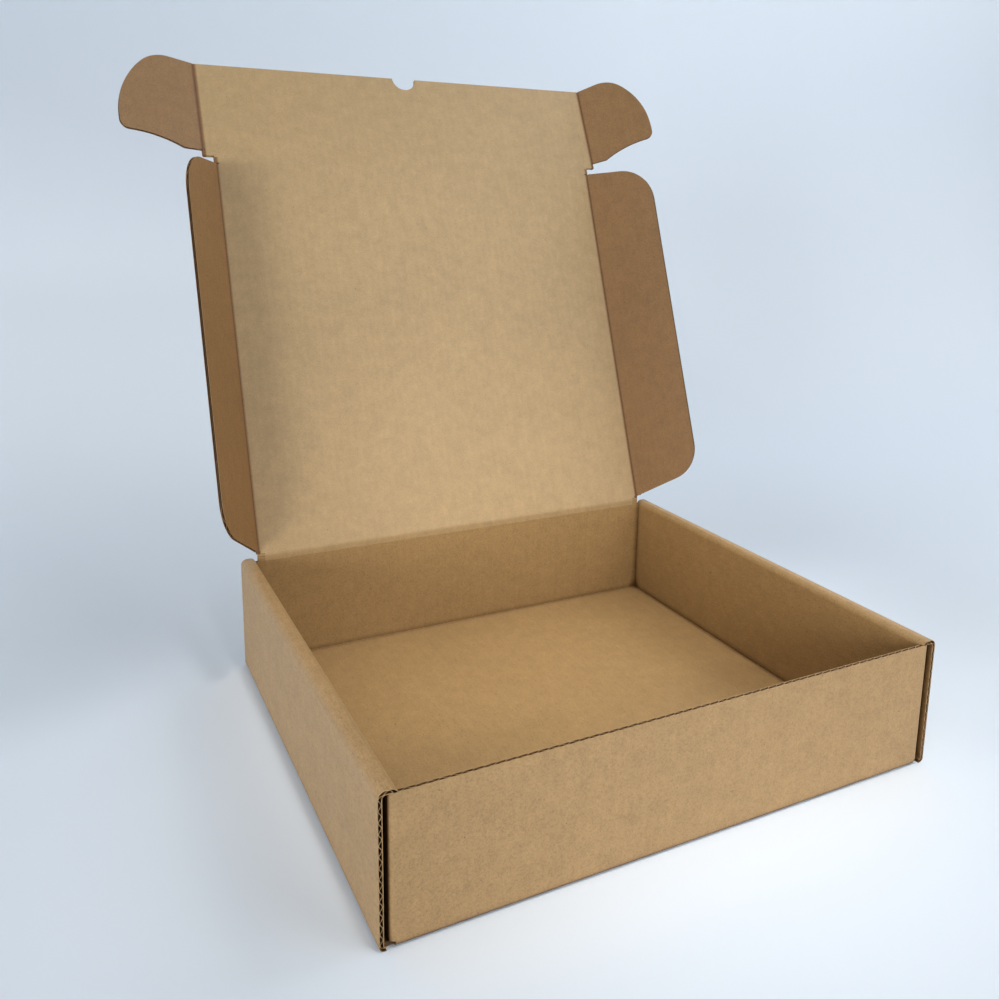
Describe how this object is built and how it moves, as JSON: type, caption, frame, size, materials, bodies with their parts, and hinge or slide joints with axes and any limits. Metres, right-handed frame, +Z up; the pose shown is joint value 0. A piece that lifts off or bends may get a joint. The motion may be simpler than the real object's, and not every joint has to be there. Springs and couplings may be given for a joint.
{
  "type": "corrugated mailer box",
  "caption": "Roll-end corrugated mailer box with hinged lid, tuck flap, locking ears and dust flaps, shown open.",
  "frame": {"origin": "middle of the tray's underside, on the surface it stands on", "axes": "+Z up, +Y towards the lid's hinge at the back, +X to the right seen from the front"},
  "size_m": [0.2601, 0.2527, 0.2589],
  "materials": {
    "tray_board": "plain brown kraft, fibrous and matt",
    "lid_board": "plain brown kraft, fibrous and matt",
    "flap_board": "plain brown kraft, fibrous and matt"
  },
  "bodies": {
    "tray": {"tray": "tray_board"},
    "lid": {"lid": "lid_board"},
    "tuck": {"tuck_flap": "lid_board"},
    "left_dust": {"left_dust_flap": "flap_board"},
    "right_dust": {"right_dust_flap": "flap_board"},
    "left_ear": {"left_ear": "flap_board"},
    "right_ear": {"right_ear": "flap_board"}
  },
  "joints": [
    {"name": "lid_hinge", "type": "hinge", "parent": "tray", "child": "lid", "pos_m": [0, 0.08655, 0.04815], "axis": [-1, 0, 0], "range_deg": [-109.8, 70.2]},
    {"name": "tuck_hinge", "type": "hinge", "parent": "lid", "child": "tuck", "pos_m": [0, 0.14574, 0.21257], "axis": [-1, 0, 0], "range_deg": [-95.1, 6]},
    {"name": "left_dust_hinge", "type": "hinge", "parent": "lid", "child": "left_dust", "pos_m": [-0.0951, 0.11615, 0.13036], "axis": [0, -0.3387, -0.9409], "range_deg": [-74.8, 47.8]},
    {"name": "right_dust_hinge", "type": "hinge", "parent": "lid", "child": "right_dust", "pos_m": [0.0951, 0.11615, 0.13036], "axis": [0, 0.3387, 0.9409], "range_deg": [-79.7, 51]},
    {"name": "left_ear_hinge", "type": "hinge", "parent": "tuck", "child": "left_ear", "pos_m": [-0.09975, 0.15501, 0.23252], "axis": [0, -0.421, -0.907], "range_deg": [-77, 13]},
    {"name": "right_ear_hinge", "type": "hinge", "parent": "tuck", "child": "right_ear", "pos_m": [0.09975, 0.15501, 0.23252], "axis": [0, 0.421, 0.907], "range_deg": [-49.4, 40.6]}
  ],
  "couplings": [
    {"joint": "left_dust_hinge", "follows": "lid_hinge", "ratio": 0.68},
    {"joint": "right_dust_hinge", "follows": "lid_hinge", "ratio": 0.725}
  ]
}
